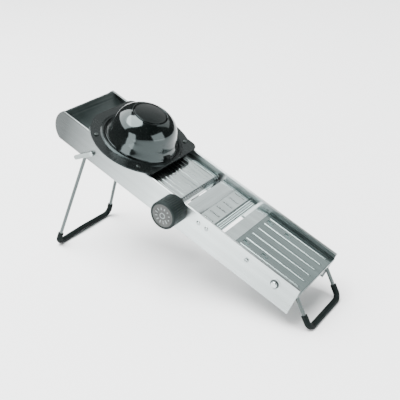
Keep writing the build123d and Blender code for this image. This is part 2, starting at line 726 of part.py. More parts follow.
def guard_dome():
    foot, waist, shoulder, high, rim = dome_profile(0)
    foot_in, waist_in, shoulder_in, high_in, rim_in = dome_profile(DOME_WALL)
    hole = CAP_R + CAP_GAP
    lines = [Spline(foot, waist, shoulder, high, rim, tangents=[(-0.45, 1), (-1, 0.22)]),
             Line(rim, (hole, CAP_Z - 0.7)),
             Line((hole, CAP_Z - 0.7), (hole, CAP_Z - 12)), Line((hole, CAP_Z - 12), (hole + 2.4, CAP_Z - 12)),
             Line((hole + 2.4, CAP_Z - 12), (hole + 2.4, rim_in[1] - 0.4)),
             Line((hole + 2.4, rim_in[1] - 0.4), (hole + 2.7, rim_in[1] - 0.4)),
             Spline((hole + 2.7, rim_in[1] - 0.4), high_in, shoulder_in, waist_in, foot_in,
                    tangents=[(1, -0.22), (0.45, -1)]),
             Line(foot_in, foot)]
    return at_guard(revolve(Plane.XZ * make_face(Wire(lines)), Axis.Z))


def guard_glides():
    """Nylon runners: each sits on a rail, with a rib down its inner side."""
    side = [(-HALF + 0.2, 0.3), (-RAIL_INNER + 0.3, 0.3), (-RAIL_INNER + 0.3, -3.4), (-RAIL_INNER + 1.6, -3.4),
            (-RAIL_INNER + 1.6, GUARD_FLOOR), (-HALF + 0.2, GUARD_FLOOR)]
    runner = extrude(Plane.YZ * outline(side), GUARD_FRONT - GUARD_REAR - 24)
    return both_sides(Pos(GUARD_REAR + 12, 0, 0) * runner)


def guard_latch():
    """Thumb clip that holds the flared foot of the dome down at the front of the base."""
    clip = block(143.0, 156.6, -21.0, -9.0, 6.9, 10.6)
    clip = fillet(clip.edges().filter_by(Axis.Z).group_by(Axis.X)[-1], 2.4)
    clip += block(143.0, 155.4, -19.5, -10.5, 10.6, 15.4)
    clip -= block(154.0, 154.7, -17.5, -12.5, 14.6, 16)
    foot, waist, shoulder, high, rim = dome_profile(-0.05)
    top = (0, shoulder[1])
    side = [Line((0, 4), (foot[0], 4)), Line((foot[0], 4), foot), Spline(foot, waist, shoulder),
            Line(shoulder, top), Line(top, (0, 4))]
    return clip - at_guard(revolve(Plane.XZ * make_face(Wire(side)), Axis.Z)) - guard_base()


# ---- pusher -------------------------------------------------------------------------------

PLATE_Z = 28.0
PLATE_R = 34.0
STEM_R = 9.0


def pusher_cap():
    """Round cap, flush in the top of the dome, with a long skirt that guides it."""
    crown = 1.8
    section = Wire([Line((0, 35), (0, 36)), Line((0, 36), (0, CAP_Z + crown)),
                    ThreePointArc((0, CAP_Z + crown), (CAP_R * 0.55, CAP_Z + crown * 0.72), (CAP_R - 0.8, CAP_Z)),
                    Line((CAP_R - 0.8, CAP_Z), (CAP_R, CAP_Z - 0.8)), Line((CAP_R, CAP_Z - 0.8), (CAP_R, 35)),
                    Line((CAP_R, 35), (0, 35))])
    cap = revolve(Plane.XZ * make_face(section), Axis.Z)
    hollow = rod_z(0, 0, CAP_R - 2.4, 34, CAP_Z - 3.2) - rod_z(0, 0, STEM_R, 30, 60)
    cap -= hollow
    cap -= rod_z(0, 0, STEM_R, 34, 44)
    return at_guard(cap)


def pusher_stem():
    return at_guard(rod_z(0, 0, STEM_R, PLATE_Z + 3, 44) - rod_z(0, 0, 2.0, PLATE_Z, 42))


def pusher_plate():
    disc = rod_z(0, 0, PLATE_R, PLATE_Z, PLATE_Z + 3)
    disc = fillet(disc.edges().group_by(Axis.Z)[0], 0.8)
    disc -= rod_z(0, 0, 2.0, 0, 60)
    for x, y in pin_places():
        disc -= rod_z(x, y, 1.0, PLATE_Z - 1, PLATE_Z + 2)
    return at_guard(disc)


def pin_places():
    places = []
    for ring, count in ((12.0, 6), (24.0, 12)):
        for i in range(count):
            a = 2 * pi * (i + 0.5) / count
            places.append((ring * cos(a), ring * sin(a)))
    return places


def pusher_pins():
    """Stainless prongs that hold the food, each ending in a point."""
    pins = []
    for x, y in pin_places():
        point = Pos(x, y, PLATE_Z - 9.5) * Cone(0.15, 1.0, 3.0)
        pins.append(rod_z(x, y, 1.0, PLATE_Z - 8, PLATE_Z + 2) + point)
    return at_guard(group(pins))


def pusher_screw():
    head = rod_z(0, 0, 4.0, PLATE_Z - 2.2, PLATE_Z)
    head -= block(-2.8, 2.8, -0.5, 0.5, PLATE_Z - 2.3, PLATE_Z - 1.2)
    return at_guard(head + rod_z(0, 0, 2.0, PLATE_Z, PLATE_Z + 13.5))


# ---- writing ------------------------------------------------------------------------------

DECK_NODES = [near_side_panel, far_side_panel, rear_grip, rear_tie_plate, grip_screws, feed_hinge_rod,
              blade_bed, straight_blade, mid_deck_plate, waffle_blade, blade_screws, deck_rivets,
              runway_lead, runway_plate, runway_screws, runway_nuts, tie_rods, rear_leg_brackets,
              front_leg_bushes, knob_bush, feed_plate, cam_follower_pin, comb_guides, thickness_knob,
              knob_dial, knob_shaft, thickness_cam, julienne_comb, comb_carrier, comb_finger_tab,
              rear_leg_wire, front_leg_wire, front_leg_caps, leg_lock_lever, lever_rivet, lock_cam,
              guard_base, guard_dome, guard_glides, guard_studs, guard_latch, pusher_cap, pusher_stem,
              pusher_plate, pusher_pins, pusher_screw]
ROW_NODES = [rear_leg_sleeve, front_leg_sleeve]


def main():
    os.makedirs("parts", exist_ok=True)
    for node in DECK_NODES:
        export_step(place(node()), f"parts/{node.__name__}.step")
    for node in ROW_NODES:
        export_step(node(), f"parts/{node.__name__}.step")


main()
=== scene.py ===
import json
import math

import bmesh
import bpy
from mathutils import Matrix, Vector
from mathutils.geometry import interpolate_bezier


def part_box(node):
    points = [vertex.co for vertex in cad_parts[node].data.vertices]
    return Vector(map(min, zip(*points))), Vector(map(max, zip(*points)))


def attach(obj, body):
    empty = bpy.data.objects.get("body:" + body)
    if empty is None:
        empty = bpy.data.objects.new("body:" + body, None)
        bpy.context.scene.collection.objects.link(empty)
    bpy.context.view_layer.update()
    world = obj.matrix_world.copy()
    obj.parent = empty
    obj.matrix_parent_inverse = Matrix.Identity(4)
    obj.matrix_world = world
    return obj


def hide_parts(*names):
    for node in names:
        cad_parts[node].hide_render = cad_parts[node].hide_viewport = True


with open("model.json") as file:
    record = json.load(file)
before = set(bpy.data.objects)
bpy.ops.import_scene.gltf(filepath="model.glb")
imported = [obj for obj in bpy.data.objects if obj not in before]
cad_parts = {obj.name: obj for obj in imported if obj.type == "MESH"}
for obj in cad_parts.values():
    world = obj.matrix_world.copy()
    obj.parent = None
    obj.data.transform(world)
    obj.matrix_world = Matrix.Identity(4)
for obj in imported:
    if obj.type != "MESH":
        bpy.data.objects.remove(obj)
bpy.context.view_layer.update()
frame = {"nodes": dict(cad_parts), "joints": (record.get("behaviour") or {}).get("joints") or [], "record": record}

# The deck frame: x along the slicing deck, y across it, z square to it with 0 on the rails.
# Meshes are drawn in it in millimetres. The feed plate's hinge rod ties it to the frame.
MM = 0.001
HINGE_X, HINGE_Z = 46.0, -14.0
joints = {j["name"]: j for j in frame["joints"]}
slide_axis = joints["guard_slide"]["axis"]
tilt = math.atan2(-slide_axis[2], slide_axis[0])
hinge = Vector(joints["feed_tilt"]["pos_m"])
TURN = Matrix.Rotation(tilt, 4, "Y")
DECK = Matrix.Translation(hinge - TURN @ Vector((HINGE_X * MM, 0.0, HINGE_Z * MM))) @ TURN


def place(name, data):
    """Add an object for some data to the scene."""
    obj = bpy.data.objects.new(name, data)
    bpy.context.scene.collection.objects.link(obj)
    return obj


def dress(obj, finish):
    """Give an object one material."""
    obj.data.materials.clear()
    obj.data.materials.append(finish)


# ---- node helpers -------------------------------------------------------------------------

class Finish:
    """A Principled material and short names for the nodes that feed it."""

    def __init__(self, name, **sockets):
        self.mat = bpy.data.materials.new(name)
        self.mat.use_nodes = True
        self.nodes = self.mat.node_tree.nodes
        self.links = self.mat.node_tree.links
        self.bsdf = self.nodes["Principled BSDF"]
        for key, value in sockets.items():
            self.bsdf.inputs[key.replace("_", " ")].default_value = value
        self.coords = {}

    def add(self, kind, **settings):
        node = self.nodes.new(kind)
        for key, value in settings.items():
            setattr(node, key, value)
        return node

    def wire(self, source, target):
        self.links.new(source, target)

    def offer(self, value, socket):
        """Link an output to a socket, or set the socket to a number or a colour."""
        if isinstance(value, bpy.types.NodeSocket):
            self.wire(value, socket)
        elif isinstance(value, tuple):
            socket.default_value = (*value, 1.0)
        else:
            socket.default_value = value

    def space(self, along, across, normal):
        """Deck-frame coordinates scaled to that many features a metre on each axis."""
        if "turned" not in self.coords:
            tex = self.add("ShaderNodeTexCoord")
            turned = self.add("ShaderNodeMapping")
            turned.inputs["Rotation"].default_value = (0, -tilt, 0)
            self.wire(tex.outputs["Object"], turned.inputs["Vector"])
            self.coords["turned"] = turned.outputs["Vector"]
        key = (along, across, normal)
        if key not in self.coords:
            scaled = self.add("ShaderNodeMapping")
            scaled.inputs["Scale"].default_value = key
            self.wire(self.coords["turned"], scaled.inputs["Vector"])
            self.coords[key] = scaled.outputs["Vector"]
        return self.coords[key]

    def split(self, vector, axis):
        """One axis of a vector."""
        node = self.add("ShaderNodeSeparateXYZ")
        self.wire(vector, node.inputs["Vector"])
        return node.outputs[axis]

    def noise(self, per_metre, detail=3.0, rough=0.55, distortion=0.0):
        """Noise with that many features a metre: one number, or one for each deck axis."""
        if isinstance(per_metre, float):
            per_metre = (per_metre,) * 3
        tex = self.add("ShaderNodeTexNoise")
        tex.inputs["Scale"].default_value = 1.0
        tex.inputs["Detail"].default_value = detail
        tex.inputs["Roughness"].default_value = rough
        tex.inputs["Distortion"].default_value = distortion
        self.wire(self.space(*per_metre), tex.inputs["Vector"])
        return tex.outputs["Fac"]

    def span(self, value, low, high, to_low, to_high):
        """Map low..high to to_low..to_high, held at both ends."""
        node = self.add("ShaderNodeMapRange")
        node.inputs["From Min"].default_value = low
        node.inputs["From Max"].default_value = high
        node.inputs["To Min"].default_value = to_low
        node.inputs["To Max"].default_value = to_high
        self.wire(value, node.inputs["Value"])
        return node.outputs["Result"]

    def math(self, operation, a, b):
        node = self.add("ShaderNodeMath", operation=operation)
        for socket, value in zip(node.inputs, (a, b)):
            self.offer(value, socket)
        return node.outputs["Value"]

    def mix(self, factor, a, b):
        """Blend from colour a to colour b."""
        node = self.add("ShaderNodeMix", data_type="RGBA")
        self.wire(factor, node.inputs["Factor"])
        colours = [s for s in node.inputs if s.type == "RGBA"]
        for socket, value in zip(colours, (a, b)):
            self.offer(value, socket)
        return next(s for s in node.outputs if s.type == "RGBA")

    def edges(self, radius):
        """1 on edges within radius, 0 on open faces."""
        bevel = self.add("ShaderNodeBevel", samples=4)
        bevel.inputs["Radius"].default_value = radius
        geo = self.add("ShaderNodeNewGeometry")
        dot = self.add("ShaderNodeVectorMath", operation="DOT_PRODUCT")
        self.wire(bevel.outputs["Normal"], dot.inputs[0])
        self.wire(geo.outputs["Normal"], dot.inputs[1])
        return self.span(dot.outputs["Value"], 0.97, 0.75, 0.0, 1.0)

    def bump(self, height, distance, strength, base=None):
        node = self.add("ShaderNodeBump")
        node.inputs["Distance"].default_value = distance
        node.inputs["Strength"].default_value = strength
        self.wire(height, node.inputs["Height"])
        if base is not None:
            self.wire(base, node.inputs["Normal"])
        return node.outputs["Normal"]

    def feed(self, **sockets):
        """Link outputs to the shader's own sockets."""
        for key, value in sockets.items():
            self.wire(value, self.bsdf.inputs[key.replace("_", " ")])


# ---- materials ----------------------------------------------------------------------------

# Brush marks as features a metre along the deck, across it and square to it.
ALONG = (9.0, 850.0, 850.0)
ACROSS = (900.0, 8.0, 900.0)
COOL = (0.74, 0.95, 0.96, 1.0)
GLOSS_BLACK = (0.0012, 0.0018, 0.0017)
# Painted shade: the side panels darken strongly towards the grip and a little towards the low end.
PANEL_PAINTED_SHADE = ((-0.235, -0.03, 0.97, 0.0), (0.03, 0.14, 0.0, 0.30))


def shade(tone, factor):
    """The same tone, darker or lighter."""
    return tuple(min(1.0, c * factor) for c in tone)


def brushed_steel(name, tone, rough, grain=ALONG, depth=1.0, ends=()):
    """Rolled stainless sheet with a brushed grain, soft smudges and brighter worn edges.

    ends are painted shade: spans where the colour darkens towards a much darker tone, standing in
    for the dimmer light reflected there; start, end and the amount at each, in metres along the
    deck from the middle of the slicer.
    """
    look = Finish(name, Metallic=1.0, Roughness=rough)
    fine = look.noise(grain, detail=4.0, rough=0.6)
    band = look.noise(tuple(g / 7 for g in grain), detail=2.0)
    cloud = look.noise((16.0, 22.0, 22.0), detail=3.0, distortion=0.4)
    colour = look.mix(look.span(band, 0.3, 0.7, 0.0, 1.0), shade(tone, 0.86), shade(tone, 1.07))
    colour = look.mix(look.span(cloud, 0.45, 0.75, 0.0, 0.35), colour, shade(tone, 0.8))
    colour = look.mix(look.edges(0.0005), colour, shade(tone, 1.22))
    # Painted shade: towards the given ends the colour darkens to a much darker tone.
    if ends:
        along = look.split(look.space(1.0, 1.0, 1.0), "X")
        painted_shade = look.math("ADD", *[look.span(along, *fade) for fade in ends])
        colour = look.mix(painted_shade, colour, shade(tone, 0.09))
    level = look.span(fine, 0.3, 0.7, rough - 0.07, rough + 0.07)
    look.feed(
        Base_Color=colour,
        Roughness=look.math("ADD", level, look.span(cloud, 0.4, 0.8, 0.0, 0.08)),
        Normal=look.bump(fine, 0.000012 * depth, 0.55, look.bump(band, 0.00003 * depth, 0.4)),
    )
    return look.mat


def drawn_steel(name, tone, rough):
    """Bright wire and turned parts: faint draw marks and small dull patches."""
    look = Finish(name, Metallic=1.0, Roughness=rough)
    fine = look.noise((420.0, 420.0, 60.0), detail=4.0)
    cloud = look.noise((60.0, 60.0, 45.0), detail=3.0)
    level = look.span(fine, 0.3, 0.7, rough - 0.05, rough + 0.06)
    look.feed(
        Base_Color=look.mix(look.span(cloud, 0.35, 0.75, 0.0, 1.0), tone, shade(tone, 0.82)),
        Roughness=look.math("ADD", level, look.span(cloud, 0.4, 0.8, 0.0, 0.10)),
        Normal=look.bump(fine, 0.00001, 0.5),
    )
    return look.mat


def moulded_plastic(name, tone, rough, grain_size, grain_depth, coat=0.0, wear=0.05, shine=0.45):
    """Moulded plastic: fine surface grain, faint flow clouds, dust and lighter rubbed edges."""
    look = Finish(name, Roughness=rough, Coat_Weight=coat, Coat_Roughness=0.08,
                  Specular_Tint=COOL, Specular_IOR_Level=shine)
    dust, rub = (0.10, 0.11, 0.105), (0.09, 0.097, 0.093)
    grain = look.noise(1.0 / grain_size, detail=2.0)
    cloud = look.noise(28.0, detail=4.0, distortion=0.5)
    speck = look.noise(900.0, detail=1.0)
    lighter = tuple(c * 1.8 + 0.006 for c in tone)
    colour = look.mix(look.span(cloud, 0.35, 0.75, 0.0, 0.6), tone, lighter)
    colour = look.mix(look.span(speck, 0.72, 0.80, 0.0, 0.25), colour, dust)
    rubbed = look.math("MULTIPLY", look.edges(0.0006), look.span(cloud, 0.3, 0.7, 0.2, 1.0))
    colour = look.mix(look.math("MULTIPLY", rubbed, wear * 8.0), colour, rub)
    level = look.span(grain, 0.3, 0.7, 0.75 * rough, 1.25 * rough)
    look.feed(
        Base_Color=colour,
        Roughness=look.math("ADD", level, look.span(cloud, 0.45, 0.8, 0.0, 0.09)),
        Normal=look.bump(grain, grain_depth, 0.6),
    )
    return look.mat


def soft_rubber(name):
    """Matt black rubber with a fine tooth and a little dust in it."""
    look = Finish(name, Roughness=0.62, Specular_IOR_Level=0.09, Specular_Tint=COOL)
    deep, pale, dust = (0.0026, 0.0038, 0.0036), (0.0055, 0.0075, 0.0072), (0.05, 0.055, 0.053)
    grain = look.noise(1500.0, detail=3.0)
    cloud = look.noise(70.0, detail=3.0, distortion=0.6)
    colour = look.mix(look.span(cloud, 0.35, 0.75, 0.0, 1.0), deep, pale)
    look.feed(
        Base_Color=look.mix(look.span(grain, 0.62, 0.75, 0.0, 0.15), colour, dust),
        Roughness=look.span(cloud, 0.3, 0.8, 0.48, 0.78),
        Normal=look.bump(grain, 0.00005, 0.5),
    )
    return look.mat


def dial_finish(name, face):
    """Dial insert: matt dark ground, its raised ticks printed pale grey and slightly worn."""
    look = Finish(name, Roughness=0.5)
    ground_dark, ground_pale, ink = (0.018, 0.021, 0.020), (0.045, 0.049, 0.047), (0.20, 0.23, 0.23)
    depth = look.split(look.add("ShaderNodeTexCoord").outputs["Object"], "Y")
    raised = look.span(depth, face + 0.00012, face + 0.00004, 0.0, 1.0)
    wear = look.noise(600.0, detail=4.0)
    printed = look.math("MULTIPLY", raised, look.span(wear, 0.36, 0.52, 0.35, 1.0))
    cloud = look.noise(90.0, detail=3.0)
    ground = look.mix(look.span(cloud, 0.3, 0.7, 0.0, 1.0), ground_dark, ground_pale)
    look.feed(
        Base_Color=look.mix(printed, ground, ink),
        Roughness=look.span(wear, 0.3, 0.7, 0.40, 0.62),
        Normal=look.bump(look.noise(2200.0), 0.00004, 0.6),
    )
    return look.mat


def floor_finish(name):
    """Plain pale floor with a barely visible cloud."""
    look = Finish(name, Roughness=0.6)
    cloud = look.noise(0.8, detail=2.0)
    look.feed(Base_Color=look.mix(cloud, (0.86, 0.865, 0.865), (0.88, 0.885, 0.885)))
    return look.mat


finishes = {
    # The side panels carry painted shade towards their ends.
    "panel_steel": brushed_steel("panel_painted_shade_finish", (0.56, 0.62, 0.62), 0.30, depth=0.7, ends=PANEL_PAINTED_SHADE),
    "deck_steel": brushed_steel("deck_finish", (0.46, 0.525, 0.52), 0.16, grain=(7.0, 700.0, 700.0)),
    "blade_steel": brushed_steel("blade_finish", (0.47, 0.53, 0.53), 0.20, grain=ACROSS),
    "fixing_steel": drawn_steel("fixing_finish", (0.34, 0.385, 0.385), 0.22),
    "rod_steel": drawn_steel("rod_finish", (0.48, 0.53, 0.53), 0.24),
    "wire_steel": drawn_steel("wire_finish", (0.085, 0.10, 0.099), 0.16),
    "mech_steel": drawn_steel("mech_finish", (0.26, 0.295, 0.29), 0.26),
    "grip_plastic": moulded_plastic("grip_finish", (0.005, 0.0075, 0.007), 0.36, 0.0006, 0.00004,
                                    shine=0.30),
    "knob_plastic": moulded_plastic("knob_finish", (0.004, 0.0062, 0.0059), 0.50, 0.0005, 0.00006,
                                    wear=0.04, shine=0.15),
    "guard_plastic": moulded_plastic("guard_finish", (0.0015, 0.0022, 0.0021), 0.22, 0.0012, 0.00001,
                                     wear=0.02, shine=0.22),
    "dome_plastic": moulded_plastic("dome_finish", GLOSS_BLACK, 0.10, 0.0030, 0.000003,
                                    coat=0.2, wear=0.0),
    "inner_plastic": moulded_plastic("inner_finish", (0.012, 0.014, 0.0135), 0.38, 0.0006, 0.00003),
    "nylon": moulded_plastic("nylon_finish", (0.016, 0.018, 0.0175), 0.42, 0.0005, 0.00003),
    "rubber": soft_rubber("rubber_finish"),
}
# Painted shade: the run-on plate is the deck's steel in a much darker tone, for the dimmer light it reflects.
runway_painted_shade_finish = brushed_steel("runway_painted_shade_finish", (0.17, 0.212, 0.208), 0.20,
                              grain=(5.0, 520.0, 520.0), depth=0.5)
# Painted shade: the rippled blade is the blade's steel in a much darker tone.
waffle_painted_shade_finish = brushed_steel("waffle_painted_shade_finish", (0.15, 0.185, 0.182), 0.24, grain=ACROSS, depth=0.5)
# Painted shade: the guard's studs are the fixings' steel in a much darker tone, to dim their reflections.
stud_painted_shade_finish = drawn_steel("stud_painted_shade_finish", (0.07, 0.082, 0.08), 0.28)
cap_finish = moulded_plastic("cap_finish", GLOSS_BLACK, 0.14, 0.0030, 0.000003, shine=0.16)


# ---- mesh helpers -------------------------------------------------------------------------

def piece(name, mesh, body, slot, *nodes):
    """Add a mesh drawn in deck millimetres as a piece that stands for some CAD nodes."""
    mesh.transform(DECK @ Matrix.Scale(MM, 4))
    obj = place(name, mesh)
    dress(obj, finishes[slot])
    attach(obj, body)
    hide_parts(*nodes)
    return obj


def finished(bm, name, angle=32):
    """Turn a working mesh into a smooth one that stays sharp past an angle in degrees."""
    bmesh.ops.recalc_face_normals(bm, faces=bm.faces)
    mesh = bpy.data.meshes.new(name)
    bm.to_mesh(mesh)
    bm.free()
    for poly in mesh.polygons:
        poly.use_smooth = True
    mesh.set_sharp_from_angle(angle=math.radians(angle))
    return mesh


def bent(start, start_handle, end_handle, end, count):
    """Points along one Bezier run."""
    run = interpolate_bezier(*[Vector((*p, 0)) for p in (start, start_handle, end_handle, end)], count)
    return [(v.x, v.y) for v in run]


def arc(cx, cy, radius, a0, a1, count):
    """Points on an arc, angles in degrees."""
    angles = [math.radians(a0 + (a1 - a0) * i / count) for i in range(count + 1)]
    return [(cx + radius * math.cos(a), cy + radius * math.sin(a)) for a in angles]


def circle(count):
    """Points round a circle of radius 1."""
    return [(math.cos(2 * math.pi * i / count), math.sin(2 * math.pi * i / count)) for i in range(count)]


def skin(bm, rings):
    """Join rings into a closed skin. A ring of one point is a pole, where the skin ends."""
    count = max(len(ring) for ring in rings)
    pairs = list(zip(rings, rings[1:]))
    if len(rings[0]) > 1:
        pairs.append((rings[-1], rings[0]))
    for low, high in pairs:
        for i in range(count):
            j = (i + 1) % count
            quad = [low[i % len(low)], low[j % len(low)], high[j % len(high)], high[i % len(high)]]
            corners = list(dict.fromkeys(quad))
            if len(corners) > 2:
                bm.faces.new(corners)


def lathe(name, profile, centre, segments=168):
    """Turn a closed loop of (radius, height) about the deck normal at centre."""
    bm = bmesh.new()
    cx, cy = centre
    rings = []
    for radius, height in profile:
        spots = circle(segments) if radius else [(0.0, 0.0)]
        rings.append([bm.verts.new((cx + radius * c, cy + radius * s, height)) for c, s in spots])
    skin(bm, rings)
    return finished(bm, name, 38)


def add_turned(bm, profile, x, z, side, segments=48):
    """Turn a closed loop of (radius, distance out from the middle) about a cross axis."""
    rings = []
    for radius, out in profile:
        spots = [(x + radius * c, side * out, z + radius * s) for c, s in circle(segments)]
        rings.append([bm.verts.new(spot) for spot in spots])
    skin(bm, rings)


def add_block(bm, along, across, height, radius=0.25):
    """A folded or cut edge of sheet between three pairs of limits, its corners rounded."""
    limits = [sorted(pair) for pair in (along, across, height)]
    made = bmesh.ops.create_cube(bm, size=1.0)["verts"]
    for v in made:
        v.co = [(low + high) / 2 + c * (high - low) for c, (low, high) in zip(v.co, limits)]
    edges = list(dict.fromkeys(e for v in made for e in v.link_edges))
    bmesh.ops.bevel(bm, geom=edges, offset=radius, segments=2, profile=0.7, affect="EDGES")


def add_sheet(bm, xs, ys, top, under):
    """A closed sheet on a grid, its upper and lower skins given as functions of (x, y)."""
    up, down = [[[bm.verts.new((x, y, height(x, y))) for y in ys] for x in xs] for height in (top, under)]
    last_i, last_j = len(xs) - 1, len(ys) - 1
    for grid in (up, down):
        for i in range(last_i):
            for j in range(last_j):
                bm.faces.new((grid[i][j], grid[i + 1][j], grid[i + 1][j + 1], grid[i][j + 1]))
    rim = [(i, 0) for i in range(last_i)] + [(last_i, j) for j in range(last_j)]
    rim += [(i, last_j) for i in range(last_i, 0, -1)] + [(0, j) for j in range(last_j, 0, -1)]
    for (i, j), (k, m) in zip(rim, rim[1:] + rim[:1]):
        bm.faces.new((up[i][j], up[k][m], down[k][m], down[i][j]))


def stations(low, high, step, marks=(), reach=0.0, fine=0.3):
    """Grid lines from low to high, closer together round each mark."""
    count = max(1, round((high - low) / step))
    lines = {round(low + (high - low) * i / count, 3) for i in range(count + 1)}
    for mark in marks:
        offset = -reach
        while offset <= reach + 1e-6:
            if low < mark + offset < high:
                lines.add(round(mark + offset, 3))
            offset += fine
    return sorted(lines)


def ease(t):
    """A smooth step from 0 to 1."""
    t = max(0.0, min(1.0, t))
    return t * t * (3 - 2 * t)


# ---- hand guard ---------------------------------------------------------------------------

# Where the axis of the dome and its cap meets the deck.
GUARD = (103.0, -8.0)


def dome_mesh():
    """Deep glossy dome: flared foot, tall round side, and a lip that meets the cap."""
    foot, waist, shoulder, brow, crown = (50.6, 9.4), (46.7, 19.4), (43.7, 28.5), (36.4, 42.0), (24.6, 49.9)
    outer = [(50.9, 7.1), (51.35, 7.7), (51.3, 8.5), (50.8, 9.1)]
    outer += bent(foot, (49.6, 12.6), (47.6, 16.6), waist, 12)
    outer += bent(waist, (45.7, 22.6), (44.9, 25.4), shoulder, 10)[1:]
    outer += bent(shoulder, (41.9, 34.6), (39.9, 38.6), brow, 12)[1:]
    outer += bent(brow, (32.8, 45.6), (28.8, 48.4), crown, 12)[1:]
    lip = arc(24.3, 49.2, 0.8, 80, 180, 6)
    wall = [(23.4, 44.0), (23.1, 38.2), (25.5, 38.2), (25.6, 45.8)]
    inner_shoulder = (40.9, 29.5)
    inner = bent((27.6, 46.3), (31.6, 43.6), (37.4, 39.0), inner_shoulder, 14)
    inner += bent(inner_shoulder, (43.6, 21.0), (46.4, 15.0), (48.2, 7.0), 12)[1:]
    return lathe("guard_dome_shell", outer + lip + wall + inner + [(50.2, 6.95)], GUARD)


def cap_mesh():
    """Round cap with a soft crown, a rolled rim and a guide skirt below."""
    top = [(0.0, 52.0)] + bent((0.6, 52.0), (8.0, 51.95), (15.0, 51.2), (20.6, 50.2), 16)
    rim = arc(20.9, 48.6, 1.7, 80, 0, 8)
    skirt = [(22.6, 47.0), (22.6, 36.0), (22.0, 35.2), (20.6, 35.2), (20.4, 46.6)]
    boss = [(9.2, 46.8), (9.0, 44.2), (0.0, 44.2)]
    return lathe("guard_cap", top + rim + skirt + boss, GUARD)


piece("guard_dome_shell", dome_mesh(), "guard", "dome_plastic", "guard_dome")
cap = piece("guard_cap", cap_mesh(), "pusher", "dome_plastic", "pusher_cap")
dress(cap, cap_finish)


# ---- pressed deck plates ------------------------------------------------------------------

# Upper face of every plate, thickness of the pressed and the ground ones, and half widths
# of the plates and of the room between the side panels.
DECK_TOP = -8.5
PRESSED = 1.5
GROUND = 1.8
PLATE_HALF = 51.3
INNER = 51.8
RIDGE_PITCH = 7.65
RIDGES = [RIDGE_PITCH * k for k in (-5, -3, -1, 1, 3, 5)]
FINE_RIDGES = [RIDGE_PITCH * k for k in range(-5, 6)]


def flat_skin(height):
    """The same height everywhere."""
    return lambda x, y: height


def beaded(start, end, lines, width, height):
    """The upper skin of a plate with long pressed beads, soft at their flanks and ends."""
    def top(x, y):
        ends = ease((x - start) / width) * ease((end - x) / width)
        for line in lines:
            off = abs(y - line)
            if off < width:
                return DECK_TOP + height * ends * (0.5 + 0.5 * math.cos(math.pi * off / width))
        return DECK_TOP
    return top


def feed_mesh():
    """Feed plate: eleven fine beads, side flanges, hinge eyes and the follower's tab."""
    bm = bmesh.new()
    start, end = 42.5, 203.5
    bead_start, bead_end = 54.0, 202.4
    edge, flange = 49.3, 1.2
    fold, flange_foot, tab_foot, web_foot = DECK_TOP - PRESSED + 0.1, DECK_TOP - 9.0, -26.8, -11.6
    xs = stations(start, end, 4.0, (bead_start + 1.0, bead_end - 0.9), 1.2, 0.4)
    ys = stations(-edge, PLATE_HALF, 2.0, FINE_RIDGES, 1.25, 0.25)
    top = beaded(bead_start, bead_end, FINE_RIDGES, 1.1, 0.30)
    add_sheet(bm, xs, ys, top, flat_skin(DECK_TOP - PRESSED))
    for side in (-1, 1):
        add_block(bm, (60.0, 196.0), (side * edge, side * (edge - flange)), (flange_foot, fold))
    add_block(bm, (194.0, 209.9), (-edge, -edge + flange), (tab_foot, fold))
    eye, bore, chamfer = 4.0, 2.05, 0.3
    for low, high in ((-40.0, -20.0), (-8.0, 8.0), (20.0, 40.0)):
        outside = [(eye, low + chamfer), (eye, high - chamfer), (eye - chamfer, high)]
        inside = [(bore, high), (bore, low), (eye - chamfer, low)]
        add_turned(bm, outside + inside, HINGE_X, HINGE_Z, 1)
        add_block(bm, (43.2, 49.8), (low, high), (web_foot, fold))
    return finished(bm, "feed_sheet")


def runway_mesh():
    """Run-on plate: six beads, four lanced tabs, folded sides, and a lip and tongue at the low end."""
    bm = bmesh.new()
    start, end = 295.5, 401.0
    bead_start, bead_end = 301.0, 394.0
    lip_bend, lip_foot, tongue_foot, side_foot = 1.3, DECK_TOP - 5.5, DECK_TOP - 10.5, -19.0
    tab_rows, tab_side, tab_half = (306.0, 335.5), 30.6, (4.6, 2.3)
    tab_raised, tab_sunk = DECK_TOP + 0.9, DECK_TOP - 1.15
    beads = beaded(bead_start, bead_end, RIDGES, 1.5, 0.85)

    def top(x, y):
        height = beads(x, y)
        for row in tab_rows:
            if abs(abs(y) - tab_side) < tab_half[1] and abs(x - row) < tab_half[0]:
                height = tab_raised if x > row + 0.4 else tab_sunk
        bend = lip_bend - (end - x)
        if bend > 0:
            height -= lip_bend - math.sqrt(max(0.0, lip_bend ** 2 - bend * bend))
        return height

    marks = [bead_start + 1.0, bead_end - 1.0]
    for row in tab_rows:
        marks += [row - 4.4, row + 0.5, row + 4.5]
    tab_edges = [side * (tab_side + offset) for side in (-1, 1) for offset in (-tab_half[1], tab_half[1])]
    bend_lines = {399.9, 400.2, 400.5, 400.7, 400.85}
    xs = sorted(bend_lines.union(stations(start, end, 4.0, marks, 0.9, 0.3)))
    ys = stations(-PLATE_HALF, PLATE_HALF, 2.0, RIDGES + tab_edges, 1.5, 0.3)
    add_sheet(bm, xs, ys, top, flat_skin(DECK_TOP - PRESSED))
    add_block(bm, (end - PRESSED, end), (-INNER, INNER), (lip_foot, DECK_TOP - lip_bend))
    add_block(bm, (end - PRESSED, end), (18.0, 26.0), (tongue_foot, lip_foot + 0.5))
    for side in (-1, 1):
        add_block(bm, (305.0, 345.0), (side * INNER, side * (INNER - PRESSED)), (side_foot, DECK_TOP))
    return finished(bm, "runway_sheet")


def mid_mesh():
    """Short fixed plate between the straight and the rippled blade, with six wide shallow beads."""
    bm = bmesh.new()
    start, end = 238.3, 260.0
    bead_start, bead_end = 240.4, 258.0
    xs = stations(start, end, 2.0, (bead_start + 1.2, bead_end - 1.2), 1.4, 0.4)
    ys = stations(-PLATE_HALF, PLATE_HALF, 2.0, RIDGES, 2.2, 0.35)
    top = beaded(bead_start, bead_end, RIDGES, 1.8, 0.45)
    add_sheet(bm, xs, ys, top, flat_skin(DECK_TOP - GROUND))
    return finished(bm, "mid_sheet")


